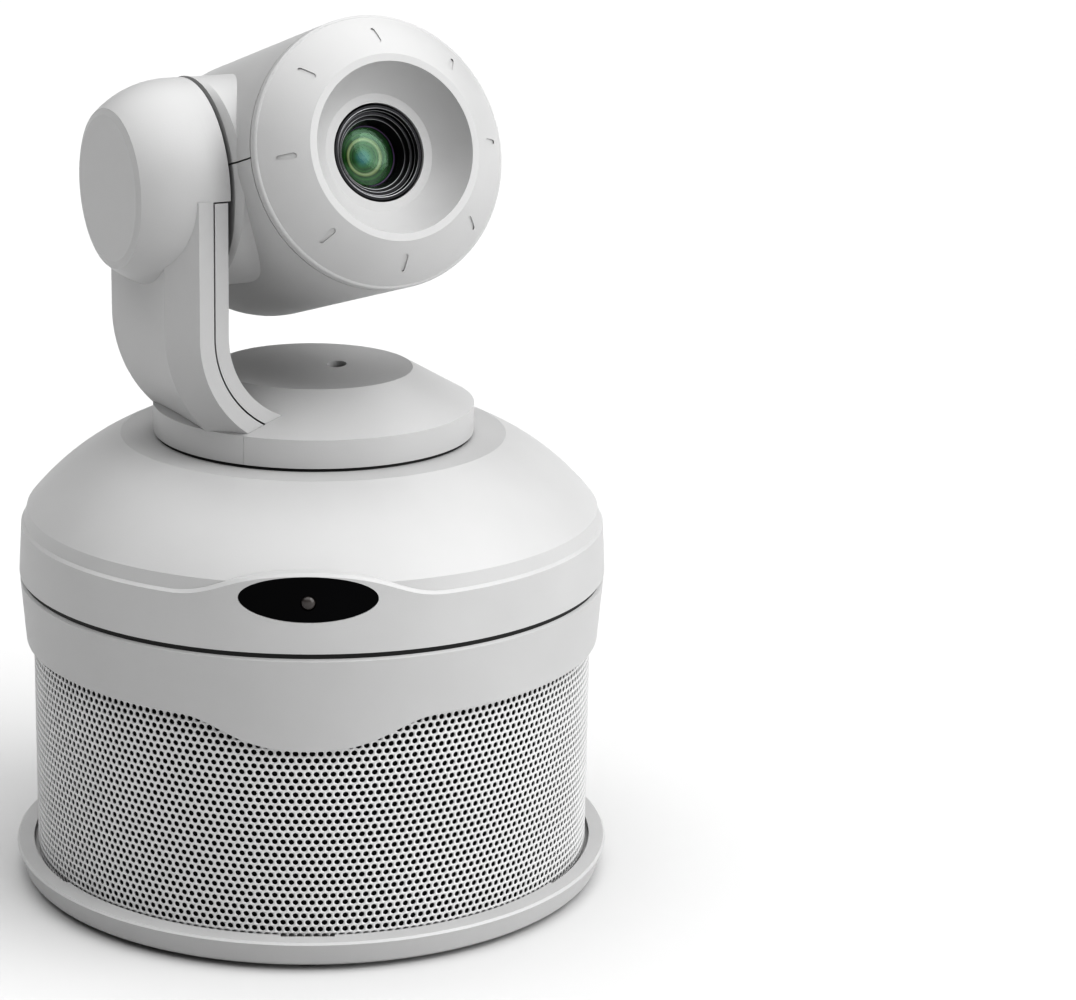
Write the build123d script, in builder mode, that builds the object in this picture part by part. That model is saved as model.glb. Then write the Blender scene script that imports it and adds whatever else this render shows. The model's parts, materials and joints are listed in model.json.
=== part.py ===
from build123d import *
import os

# Desk camera that pans and tilts on a round speaker base.
# The origin is the middle of the footprint, on the surface that it stands on.
# +Z is up and -Y is the front of the base. Millimetres.
# The moving parts are drawn where the camera looks 27 degrees to +X and 17 degrees up.

# ---------------------------------------------------------------- driving dimensions
pan_rest = 27.0            # where the camera looks when every joint is at zero
tilt_rest = 17.0
tilt_height = 236.5        # tilt axis above the floor
skin = 2.4                 # wall of every moulded cover

flange_radius = 100.0
flange_top = 10.5
foot_height = 2.0
foot_radius = 7.5
foot_circle = 86.0
base_floor = 5.0           # top of the flange's floor plate

grille_radius = 93.0
grille_sheet = 0.8
grille_bottom = 8.9
groove_depth = 2.4         # gap between the flange and the grille
grille_top = 83.4
box_radius = 88.0          # speaker enclosure
box_top = 98.0

collar_bottom = 82.2
collar_top = 103.2
collar_low_radius = 95.4
collar_top_radius = 97.1
tongue_bottom = 72.2
tongue_half_width = 43.0

cover_bottom = 105.0       # upper cover stands on a thin black gasket
wall_low_radius = 97.3
wall_rim_radius = 96.3
rim_height = 122.2
hump_top = 130.3
hump_half_width = 44.0
dome_foot = (94.4, 126.5)
dome_middle = (84.4, 137.0)
dome_edge = (63.5, 150.5)
window_half_width = 21.5
window_half_height = 7.25
window_height = 122.05
receiver_height = 120.9
receiver_radius = 2.4

disc_bottom = 151.6
disc_radius = 52.8
disc_edge = 160.9          # where the wall meets the cone
dish_rim_radius = 32.5
dish_rim = 172.4
dish_floor = 168.8
disc_screw_circle = 15.7
disc_screw_angle = 35.5    # behind the side away from the arm

arm_half_width = 33.3      # front band to back band
arm_inner = 45.8           # faces of the arm, measured from the pan axis
arm_seam = 50.5
arm_band = 55.6
arm_outer = 62.2
arm_ridge = 21.5           # half width of the flat outer face
bend_centre = 16.6         # the arm bends round this line
bend_height = 193.3
seam_gap = 0.5

boss_radius = 33.3
boss_inner = 44.9
boss_shoulder = 50.0
boss_end_radius = 25.1
boss_end = 71.2
cap_radius = 22.9
cap_face = 72.0

head_radius = 42.8
head_front = 45.5          # along the lens axis from the tilt axis
head_round = 20.0
head_back = -58.0
split_height = 1.5         # joint between the two head shells
pad_face = 43.5
pad_radius = 33.6
pad_length = 37.2
pad_height = 33.2

bezel_back = 46.0
bezel_edge = (48.6, 42.5)
bezel_ring = (59.5, 29.0)
bezel_lip = (59.5, 26.7)
bezel_floor = (47.8, 18.4)
lens_hole = 15.5

shaft_radius = 14.0        # hollow pan shaft
pan_wheel_radius = 30.0
pan_pinion_radius = 8.0
pan_motor_distance = 58.0
pan_belt_height = 131.0
hub_radius = 6.0           # tilt shaft
tilt_wheel_radius = 9.5
tilt_pinion_radius = 4.0
tilt_motor_distance = 15.0
running_fit = 0.05
belt_gap = 0.3
belt_sheet = 1.2

driver_height = 50.0       # speaker axis above the floor
driver_radius = 27.0
driver_face = 77.0

# ---------------------------------------------------------------- frames
pan_place = Location((0, 0, 0), (0, 0, pan_rest))
head_place = pan_place * Location((0, 0, tilt_height), (-tilt_rest, 0, 0))
boss_place = pan_place * Location((0, 0, tilt_height))


def placed(place, plane):
    """The plane, carried along with a moving part's place."""
    return Plane(place * plane.location)


# x away from the pan axis towards the arm, y up
towards_arm = Plane((0, 0, 0), x_dir=(-1, 0, 0), z_dir=(0, 1, 0))
# x forward along the lens, y up, z towards the arm
from_the_side = Plane((0, 0, 0), x_dir=(0, -1, 0), z_dir=(-1, 0, 0))
arm_section = placed(pan_place, towards_arm)
boss_section = placed(boss_place, towards_arm)
head_side = placed(head_place, from_the_side)
lens_front = placed(head_place, Plane.XZ)
boss_side = placed(boss_place, from_the_side)
lens_axis = Axis(lens_front.origin, lens_front.z_dir)
tilt_axis = Axis(boss_side.origin, boss_side.z_dir)
# x towards the arm, y forward, at the height where the arm starts to bend
bend_plan = placed(pan_place, Plane((0, 0, bend_height), x_dir=(-1, 0, 0), z_dir=(0, 0, -1)))
bend_line = Axis(
    (arm_section * Location((bend_centre, bend_height, 0))).position, arm_section.z_dir * -1
)

os.makedirs("parts", exist_ok=True)


def turn(points, plane, axis, mode=Mode.ADD):
    """Revolve a closed polygon in the plane about the axis."""
    with BuildSketch(plane) as outline:
        with BuildLine():
            Polyline(*points, close=True)
        make_face()
    revolve(outline.sketch, axis=axis, mode=mode)


def dome_radius(half_width, bulge):
    """Radius of a spherical face that stands proud by the bulge."""
    return (half_width ** 2 + bulge ** 2) / (2 * bulge)


def wall_radius(height):
    """Outer radius of the upper cover's wall."""
    share = (height - cover_bottom) / (rim_height - cover_bottom)
    return wall_low_radius + share * (wall_rim_radius - wall_low_radius)


# ---------------------------------------------------------------- base
screw_circle = 60.0
insert_radius = 5.0
insert_top = 14.0
thread_radius = 3.175      # quarter inch camera thread

with BuildPart() as base_flange:
    turn(
        [
            (0, foot_height), (96.9, foot_height), (97.7, foot_height + 0.8),
            (flange_radius, flange_top - 0.7), (flange_radius - 0.7, flange_top),
            (90.0, flange_top), (88.8, base_floor), (0, base_floor),
        ],
        Plane.XZ, Axis.Z,
    )
    with BuildSketch(Plane.XY.offset(flange_top)):
        Circle(grille_radius + 0.3)
        Circle(91.2, mode=Mode.SUBTRACT)
    extrude(amount=-(flange_top - grille_bottom + 0.1), mode=Mode.SUBTRACT)
    # the groove is wider round the sides and the back, and at one notch in front
    with BuildSketch(Plane.XY.offset(flange_top)):
        Circle(grille_radius + 1.4)
        Circle(grille_radius, mode=Mode.SUBTRACT)
        with BuildLine():
            Polyline((0, 0), (-106, -67.5), (0, -150), (106, -67.5), close=True)
        make_face(mode=Mode.SUBTRACT)
    extrude(amount=-groove_depth, mode=Mode.SUBTRACT)
    with BuildSketch(Plane.XY.offset(flange_top)):
        with Locations((0, -grille_radius)):
            Rectangle(17, 2.6)
    extrude(amount=-groove_depth, mode=Mode.SUBTRACT)
    with Locations((0, 0, base_floor)):
        Cylinder(9, insert_top - base_floor, align=(Align.CENTER, Align.CENTER, Align.MIN))
    Hole(insert_radius)
    with BuildSketch(Plane.XY.offset(foot_height)):
        with PolarLocations(foot_circle, 4):
            Circle(foot_radius)
    extrude(amount=1.5, mode=Mode.SUBTRACT)
    with BuildSketch(Plane.XY.offset(foot_height)):
        with PolarLocations(screw_circle, 4, start_angle=45):
            Circle(3.6)
    extrude(amount=1.6, mode=Mode.SUBTRACT)
    with BuildSketch(Plane.XY.offset(foot_height)):
        with PolarLocations(screw_circle, 4, start_angle=45):
            Circle(1.8)
    extrude(amount=base_floor, mode=Mode.SUBTRACT)

with BuildPart() as rubber_feet:
    with PolarLocations(foot_circle, 4):
        Cylinder(foot_radius, foot_height + 1.5, align=(Align.CENTER, Align.CENTER, Align.MIN))
    fillet(rubber_feet.edges().group_by(Axis.Z)[0], 0.6)

with BuildPart() as tripod_insert:
    with BuildSketch(Plane.XY.offset(foot_height)):
        Circle(insert_radius)
        Circle(thread_radius, mode=Mode.SUBTRACT)
    extrude(amount=insert_top - foot_height)

with BuildPart() as base_screws:
    with BuildSketch(Plane.XY.offset(foot_height + 0.4)):
        with PolarLocations(screw_circle, 4, start_angle=45):
            Circle(3.4)
    extrude(amount=1.2)
    with BuildSketch(Plane.XY.offset(foot_height + 1.6)):
        with PolarLocations(screw_circle, 4, start_angle=45):
            Circle(1.7)
    extrude(amount=14)
    with BuildSketch(Plane.XY.offset(foot_height + 0.4)):
        with PolarLocations(screw_circle, 4, start_angle=45):
            Rectangle(3.6, 0.7)
            Rectangle(0.7, 3.6)
    extrude(amount=0.8, mode=Mode.SUBTRACT)

with BuildPart() as ballast_plate:
    with BuildSketch(Plane.XY.offset(base_floor)):
        Circle(84)
        Circle(12, mode=Mode.SUBTRACT)
        with PolarLocations(screw_circle, 4, start_angle=45):
            Circle(7, mode=Mode.SUBTRACT)
    extrude(amount=3)

# ---------------------------------------------------------------- speaker base
bay_half_width = 37.0      # recess for the sockets, at the back
bay_bottom = 14.0
bay_top = 60.0
bay_floor = 79.0

with BuildPart() as speaker_box:
    with BuildSketch(Plane.XY.offset(base_floor + 3)):
        Circle(box_radius)
    extrude(amount=box_top - base_floor - 3)
    with BuildSketch(Plane.XY.offset(base_floor + 3)):
        Circle(box_radius - skin)
    extrude(amount=box_top - base_floor - 3 - skin, mode=Mode.SUBTRACT)
    with BuildSketch(Plane.XY.offset(base_floor)):
        with PolarLocations(screw_circle, 4, start_angle=45):
            Circle(6)
    extrude(amount=box_top - base_floor)
    with BuildSketch(Plane.XY.offset(base_floor)):
        with PolarLocations(screw_circle, 4, start_angle=45):
            Circle(1.7)
    extrude(amount=16, mode=Mode.SUBTRACT)
    with BuildSketch(Plane.YZ):
        with Locations((0, driver_height)):
            Circle(driver_radius + 1)
    extrude(amount=100, both=True, mode=Mode.SUBTRACT)
    with BuildSketch(Plane.XY.offset(bay_top + 2)):
        with Locations((0, 80)):
            Rectangle(2 * bay_half_width + 4, 60)
    extrude(amount=-bay_top, mode=Mode.SUBTRACT)

with BuildPart() as acoustic_cloth:
    with BuildSketch(Plane.XY.offset(flange_top + 0.2)):
        Circle(grille_radius - grille_sheet - 0.3)
        Circle(grille_radius - grille_sheet - 0.9, mode=Mode.SUBTRACT)
    extrude(amount=collar_bottom - flange_top + 0.8)
    with BuildSketch(Plane.XY.offset(bay_top + 2.4)):
        with Locations((0, 80)):
            Rectangle(2 * bay_half_width + 4.6, 60)
    extrude(amount=-bay_top, mode=Mode.SUBTRACT)

with BuildPart() as speaker_grille:
    with BuildSketch(Plane.XY.offset(grille_bottom)):
        Circle(grille_radius)
        Circle(grille_radius - grille_sheet, mode=Mode.SUBTRACT)
    extrude(amount=grille_top - grille_bottom)
    with BuildSketch(Plane.XY.offset(bay_top + 2.4)):
        with Locations((0, 80)):
            Rectangle(2 * bay_half_width + 4.6, 60)
    extrude(amount=-bay_top, mode=Mode.SUBTRACT)


def driver_ring(side, near, far, outer, inner):
    """Ring about a speaker's axis; near and far are distances from the pan axis."""
    with BuildSketch(Plane.YZ.offset(side * near)) as ring:
        with Locations((0, driver_height)):
            Circle(outer)
            if inner:
                Circle(inner, mode=Mode.SUBTRACT)
    extrude(ring.sketch, amount=side * (far - near))


def driver_turn(side, points):
    """Revolve (distance, radius) points about a speaker's axis."""
    profile = [(side * distance, driver_height + radius) for distance, radius in points]
    turn(profile, Plane.XZ, Axis((0, 0, driver_height), (1, 0, 0)))


with BuildPart() as speaker_frames:
    for side in (-1, 1):
        driver_ring(side, driver_face - 3, driver_face, 35, driver_radius)
        driver_turn(side, [(74, 29), (74, 27), (56, 17), (52, 17), (52, 19.5), (56, 19.5)])

with BuildPart() as speaker_magnets:
    for side in (-1, 1):
        driver_ring(side, 36, 40, 19, 0)
        driver_ring(side, 40, 48, 19, 11)
        driver_ring(side, 48, 52, 19, 8.6)
        driver_ring(side, 40, 51, 6.2, 0)

with BuildPart() as speaker_surrounds:
    for side in (-1, 1):
        driver_ring(side, driver_face, driver_face + 0.6, 29, 23.3)

cones = {}
for side, name in ((-1, "left_cone"), (1, "right_cone")):
    with BuildPart() as cone:
        driver_turn(
            side,
            [(75, 22.9), (62, 8.2), (50, 8.2), (50, 7.2), (61.5, 7.2), (61.5, 0),
             (63.2, 0), (64.5, 8.2), (76.2, 22.9)],
        )
    cones[name] = cone

with BuildPart() as collar_ring:
    slope = (collar_top_radius - collar_low_radius) / (collar_top - collar_bottom)
    tip_radius = collar_low_radius - slope * (collar_bottom - tongue_bottom)
    turn(
        [
            (grille_radius + 0.3, tongue_bottom - 1), (tip_radius - slope, tongue_bottom - 1),
            (collar_top_radius - slope * 0.8, collar_top - 0.8),
            (collar_top_radius - 0.8, collar_top), (78, collar_top), (78, box_top + 3),
            (grille_radius + 0.3, box_top + 3),
        ],
        Plane.XZ, Axis.Z,
    )
    with BuildSketch(Plane.XZ):
        with BuildLine():
            Polyline(
                (-tongue_half_width, collar_bottom), (-120, collar_bottom), (-120, 60),
                (120, 60), (120, collar_bottom), (tongue_half_width, collar_bottom),
            )
            for side in (-1, 1):
                Bezier(
                    (side * tongue_half_width, collar_bottom), (side * 27, collar_bottom),
                    (side * 26, tongue_bottom), (0, tongue_bottom),
                )
        make_face()
    extrude(amount=120, mode=Mode.SUBTRACT)
    with BuildSketch(Plane.XZ):
        with Locations((0, collar_bottom)):
            Rectangle(240, 40, align=(Align.CENTER, Align.MAX))
    extrude(amount=-120, mode=Mode.SUBTRACT)

with BuildPart() as chassis_plate:
    with BuildSketch(Plane.XY.offset(box_top)):
        Circle(grille_radius)
        Circle(8, mode=Mode.SUBTRACT)
    extrude(amount=3)

with BuildPart() as cover_gasket:
    with BuildSketch(Plane.XY.offset(collar_top)):
        Circle(collar_top_radius - 0.9)
        Circle(90, mode=Mode.SUBTRACT)
    extrude(amount=cover_bottom - collar_top)
    # dust seal under the edge of the turntable
    with BuildSketch(Plane.XY.offset(dome_edge[1])):
        Circle(disc_radius - 0.8)
        Circle(46, mode=Mode.SUBTRACT)
    extrude(amount=disc_bottom - dome_edge[1] - 0.4)

# ---------------------------------------------------------------- sockets at the back
port_height = 37.0
usb_x, network_x, button_x, power_x = 22.0, 3.0, -11.5, -25.0
port_back = 62.0
port_face = bay_floor + 0.6
switch_depth = 9.0
port_plan = Plane.XZ.offset(-port_face)   # looks at the sockets from behind the camera


def port_block(x, height, width, tall):
    """Socket body from the port board to just proud of the panel."""
    with BuildSketch(port_plan) as face:
        with Locations((x, height)):
            Rectangle(width, tall)
    extrude(face.sketch, amount=port_face - port_back)


with BuildPart() as rear_panel:
    with BuildSketch(Plane.XY.offset(flange_top + 0.1)):
        with Locations((0, bay_floor - 3)):
            Rectangle(2 * bay_half_width + 4, 30, align=(Align.CENTER, Align.MIN))
    extrude(amount=bay_top + 1.9 - flange_top)
    Cylinder(grille_radius + 0.4, 200, mode=Mode.INTERSECT)
    with BuildSketch(Plane.XY.offset(bay_bottom)):
        with Locations((0, bay_floor)):
            Rectangle(2 * bay_half_width, 30, align=(Align.CENTER, Align.MIN))
    extrude(amount=bay_top - bay_bottom, mode=Mode.SUBTRACT)
    with BuildSketch(Plane.XZ.offset(-bay_floor + 3.5)):
        with Locations((usb_x, port_height)):
            Rectangle(12, 13)
        with Locations((network_x, port_height + 9), (network_x, port_height - 9)):
            Rectangle(16, 13.6)
        with Locations((button_x, port_height)):
            Circle(1.9)
        with Locations((power_x, port_height)):
            Circle(5.5)
    extrude(amount=-5, mode=Mode.SUBTRACT)

with BuildPart() as usb_port:
    port_block(usb_x, port_height, 12, 13)
    with BuildSketch(port_plan):
        with Locations((usb_x, port_height)):
            Rectangle(8.6, 10.2)
            with Locations((0, -1.8)):
                Rectangle(5.2, 1.6, mode=Mode.SUBTRACT)
    extrude(amount=12, mode=Mode.SUBTRACT)

with BuildPart() as network_ports:
    for height in (port_height + 9, port_height - 9):
        port_block(network_x, height, 16, 13.6)
    with BuildSketch(port_plan):
        with Locations((network_x, port_height + 9), (network_x, port_height - 9)):
            Rectangle(11.8, 8.4)
            with Locations((0, -5)):
                Rectangle(6, 2.4)
    extrude(amount=13, mode=Mode.SUBTRACT)

with BuildPart() as power_inlet:
    with BuildSketch(port_plan):
        with Locations((power_x, port_height)):
            Circle(5.5)
    extrude(amount=port_face - port_back)
    with BuildSketch(port_plan):
        with Locations((power_x, port_height)):
            Circle(2.8)
            Circle(1, mode=Mode.SUBTRACT)
    extrude(amount=11, mode=Mode.SUBTRACT)

with BuildPart() as reset_button:
    with BuildSketch(Plane.XZ.offset(-bay_floor - 0.9)):
        with Locations((button_x, port_height)):
            Circle(1.6)
    extrude(amount=8)
    with BuildSketch(Plane.XZ.offset(-bay_floor + 3.6)):
        with Locations((button_x, port_height)):
            Circle(2.6)
    extrude(amount=1)

with BuildPart() as port_board:
    with Locations((0, port_back - 1.6, bay_bottom + 2)):
        Box(66, 1.6, 42, align=(Align.CENTER, Align.MIN, Align.MIN))
    with Locations((14, port_back - 1.6, 24), (-14, port_back - 1.6, 46)):
        Box(12, 1.6, 8, align=(Align.CENTER, Align.MAX, Align.CENTER))
    # the switch behind the reset button
    with Locations((button_x, port_back, port_height)):
        Box(6, switch_depth, 6, align=(Align.CENTER, Align.MIN, Align.CENTER))

with BuildPart() as amplifier_board:
    with Locations((0, -30, 24)):
        Box(60, 42, 1.6, align=(Align.CENTER, Align.CENTER, Align.MIN))
    # spacers that hold the board above the floor of the enclosure
    with Locations(
        (-26, -12.5, base_floor + 3), (26, -12.5, base_floor + 3), (0, -48, base_floor + 3)
    ):
        Cylinder(2.5, 16, align=(Align.CENTER, Align.CENTER, Align.MIN))
    with Locations((-15, -30, 25.6), (12, -24, 25.6)):
        Box(14, 14, 3, align=(Align.CENTER, Align.CENTER, Align.MIN))
    with Locations((-24, -44, 25.6), (22, -42, 25.6)):
        Cylinder(4, 12, align=(Align.CENTER, Align.CENTER, Align.MIN))

# ---------------------------------------------------------------- upper cover
with BuildPart() as top_cover:
    turn(
        [
            (0, cover_bottom), (wall_low_radius, cover_bottom),
            (wall_radius(hump_top + 1), hump_top + 1), (0, hump_top + 1),
        ],
        Plane.XZ, Axis.Z,
    )
    with BuildSketch(Plane.XZ):
        with BuildLine():
            Polyline(
                (-hump_half_width, rim_height), (-120, rim_height), (-120, 150),
                (120, 150), (120, rim_height), (hump_half_width, rim_height),
            )
            for side in (-1, 1):
                Bezier(
                    (side * hump_half_width, rim_height), (side * 27, rim_height),
                    (side * 27, hump_top), (0, hump_top),
                )
        make_face()
    extrude(amount=120, mode=Mode.SUBTRACT)
    with BuildSketch(Plane.XZ):
        with Locations((0, rim_height)):
            Rectangle(240, 40, align=(Align.CENTER, Align.MIN))
    extrude(amount=-120, mode=Mode.SUBTRACT)
    rim_edges = top_cover.edges().filter_by(
        lambda edge: edge.length > 10 and edge.center().Z > rim_height - 0.5
    )
    chamfer(rim_edges, 0.9)
    with BuildSketch(Plane.XZ):
        with BuildLine():
            Polyline((0, 110), (90, 110), (95.6, rim_height - 1), dome_foot)
            ThreePointArc(dome_foot, dome_middle, dome_edge)
            Polyline(dome_edge, (0, dome_edge[1]), (0, 110))
        make_face()
    revolve(axis=Axis.Z)
    with BuildSketch(Plane.XZ):
        with BuildLine():
            Polyline(
                (0, cover_bottom), (wall_low_radius - skin, cover_bottom),
                (wall_rim_radius - skin - 1, rim_height - 1),
                (dome_foot[0] - skin - 1, dome_foot[1] - 2),
            )
            ThreePointArc(
                (dome_foot[0] - skin - 1, dome_foot[1] - 2),
                (dome_middle[0] - 2, dome_middle[1] - 2),
                (dome_edge[0] - 1, dome_edge[1] - skin),
            )
            Polyline(
                (dome_edge[0] - 1, dome_edge[1] - skin), (0, dome_edge[1] - skin), (0, cover_bottom)
            )
        make_face()
    revolve(axis=Axis.Z, mode=Mode.SUBTRACT)
    Hole(20)
    with BuildSketch(Plane.XZ.offset(60)):
        with Locations((0, window_height)):
            Ellipse(window_half_width, window_half_height)
    extrude(amount=60, mode=Mode.SUBTRACT)

with BuildPart() as ir_window:
    turn(
        [
            (wall_radius(110) - 3, 110), (wall_radius(110) - 0.5, 110),
            (wall_radius(134) - 0.5, 134), (wall_radius(134) - 3, 134),
        ],
        Plane.XZ, Axis.Z,
    )
    with BuildSketch(Plane.XZ.offset(60)):
        with Locations((0, window_height)):
            Ellipse(window_half_width - 0.1, window_half_height - 0.1)
        with Locations((0, receiver_height)):
            Circle(receiver_radius, mode=Mode.SUBTRACT)
    extrude(amount=60, mode=Mode.INTERSECT)

receiver_front = wall_radius(receiver_height) + 0.3

with BuildPart() as ir_receiver:
    with BuildSketch(Plane.XZ.offset(receiver_front - 8)):
        with Locations((0, receiver_height)):
            Circle(receiver_radius)
    extrude(amount=8)
    fillet(ir_receiver.edges().group_by(Axis.Y)[0], 2.1)

with BuildPart() as receiver_board:
    with Locations((0, -receiver_front + 8, receiver_height)):
        Box(20, 1.6, 12, align=(Align.CENTER, Align.MIN, Align.CENTER))

# ---------------------------------------------------------------- pan drive
housing_top = 128.0
wheel_height = 8.0

with BuildPart() as bearing_housing:
    with BuildSketch(Plane.XY.offset(box_top + 3)):
        Circle(34)
        Circle(17, mode=Mode.SUBTRACT)
    extrude(amount=3)
    with BuildSketch(Plane.XY.offset(box_top + 3)):
        Circle(21)
        Circle(17, mode=Mode.SUBTRACT)
    extrude(amount=housing_top - box_top - 3)

with BuildPart() as pan_bushes:
    for bottom in (box_top + 3, housing_top - 8):
        with BuildSketch(Plane.XY.offset(bottom)):
            Circle(17)
            Circle(shaft_radius + running_fit, mode=Mode.SUBTRACT)
        extrude(amount=8)

with BuildPart() as pan_shaft:
    with BuildSketch(Plane.XY.offset(box_top + 4)):
        Circle(shaft_radius)
        Circle(shaft_radius - 3.5, mode=Mode.SUBTRACT)
    extrude(amount=disc_bottom + 0.8 - box_top - 4)

with BuildPart() as pan_wheel:
    with BuildSketch(Plane.XY.offset(pan_belt_height)):
        Circle(pan_wheel_radius)
        Circle(shaft_radius, mode=Mode.SUBTRACT)
        with PolarLocations(22, 6):
            Circle(4, mode=Mode.SUBTRACT)
    extrude(amount=wheel_height)

with BuildPart() as pan_motor:
    with BuildSketch(Plane.XY.offset(box_top + 3)):
        with Locations((pan_motor_distance, 0)):
            RectangleRounded(35, 35, 4)
    extrude(amount=26)
    with BuildSketch(Plane.XY.offset(box_top + 29)):
        with Locations((pan_motor_distance, 0)):
            Circle(11)
    extrude(amount=2)

with BuildPart() as pan_pinion:
    with BuildSketch(Plane.XY.offset(pan_belt_height)):
        with Locations((pan_motor_distance, 0)):
            Circle(pan_pinion_radius)
    extrude(amount=wheel_height)
    with BuildSketch(Plane.XY.offset(box_top + 31.2)):
        with Locations((pan_motor_distance, 0)):
            Circle(2.5)
    extrude(amount=wheel_height)


def belt(plane, distance, wheel, pinion, width):
    """Belt loop round a wheel at the plane's origin and a pinion beside it."""
    for outward, mode in ((belt_gap + belt_sheet, Mode.ADD), (belt_gap, Mode.SUBTRACT)):
        with BuildSketch(plane) as loop:
            Circle(wheel + outward)
            with Locations((distance, 0)):
                Circle(pinion + outward)
            make_hull()
        extrude(loop.sketch, amount=width, mode=mode)


with BuildPart() as pan_belt:
    belt(
        Plane.XY.offset(pan_belt_height + 1), pan_motor_distance, pan_wheel_radius,
        pan_pinion_radius, 6,
    )

with BuildPart() as main_board:
    with Locations((-52, 0, box_top + 9)):
        Box(34, 80, 1.6, align=(Align.CENTER, Align.CENTER, Align.MIN))
    with Locations((-50, -22, box_top + 10.6), (-54, 14, box_top + 10.6)):
        Box(16, 16, 2.4, align=(Align.CENTER, Align.CENTER, Align.MIN))
    with Locations((-52, 0, box_top + 3)):
        with GridLocations(24, 60, 2, 2):
            Cylinder(2.5, 6, align=(Align.CENTER, Align.CENTER, Align.MIN))

# ---------------------------------------------------------------- turntable and arm


def square_section(inner, outer, half_width):
    """Plan of a plain slab, from its inner to its outer face."""
    return [(inner, -half_width), (outer, -half_width), (outer, half_width), (inner, half_width)]


def ridged_section(inner, band, outer, half_width, ridge):
    """Plan of a slab whose outer face falls away to a narrow band at each side."""
    return [
        (inner, -half_width), (band, -half_width), (outer, -ridge),
        (outer, ridge), (band, half_width), (inner, half_width),
    ]


def arm_slab(section, low_angle, mode=Mode.ADD):
    """The bent slab of the arm: a plan section run up from the bend and round it."""
    with BuildSketch(bend_plan) as plan:
        with BuildLine():
            Polyline(*section, close=True)
        make_face()
    extrude(plan.sketch, amount=bend_height - tilt_height, mode=mode)
    revolve(plan.sketch, axis=bend_line, revolution_arc=low_angle, mode=mode)


frame_inner = 51.4         # steel frame inside the arm
frame_outer = 54.4
frame_half_width = 25.0
plate_bottom = disc_bottom + 0.8
plate_top = bend_height - (frame_outer - bend_centre)
screw_seat = dish_floor - 3.8

with BuildPart() as pan_disc:
    with BuildSketch(Plane.XZ):
        with BuildLine():
            Polyline(
                (0, disc_bottom), (disc_radius, disc_bottom), (disc_radius, disc_edge),
                (dish_rim_radius, dish_rim),
            )
            RadiusArc(
                (dish_rim_radius, dish_rim), (0, dish_floor),
                dome_radius(dish_rim_radius, dish_rim - dish_floor),
            )
            Line((0, dish_floor), (0, disc_bottom))
        make_face()
    revolve(axis=Axis.Z)
    turn(
        [
            (0, disc_bottom), (disc_radius - skin, disc_bottom),
            (disc_radius - skin, disc_edge - 1.3), (dish_rim_radius - 1, dish_rim - skin - 0.6),
            (0, dish_floor - skin - 0.2),
        ],
        Plane.XZ, Axis.Z, Mode.SUBTRACT,
    )
    arm_slab(square_section(arm_inner, 75, arm_half_width + 0.15), 90, Mode.SUBTRACT)
    # post for the screw that holds the disc down
    with BuildSketch(placed(pan_place, Plane.XY).offset(plate_top + 0.2)):
        with PolarLocations(disc_screw_circle, 1, start_angle=disc_screw_angle):
            Circle(3.8)
    extrude(amount=dish_floor - plate_top - 0.5)
    with BuildSketch(placed(pan_place, Plane.XY).offset(screw_seat)):
        with PolarLocations(disc_screw_circle, 1, start_angle=disc_screw_angle):
            Circle(3.3)
    extrude(amount=10, mode=Mode.SUBTRACT)
    with BuildSketch(placed(pan_place, Plane.XY).offset(plate_top)):
        with PolarLocations(disc_screw_circle, 1, start_angle=disc_screw_angle):
            Circle(1.7)
    extrude(amount=20, mode=Mode.SUBTRACT)

with BuildPart() as turntable_plate:
    with BuildSketch(placed(pan_place, Plane.XY).offset(plate_bottom)):
        Circle(48)
        Circle(shaft_radius - 3.5, mode=Mode.SUBTRACT)
        with PolarLocations(disc_screw_circle, 1, start_angle=disc_screw_angle):
            Circle(1.5, mode=Mode.SUBTRACT)
    extrude(amount=plate_top - plate_bottom)

shell_low_angle = 66       # where the outer shell ends, inside the disc

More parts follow.
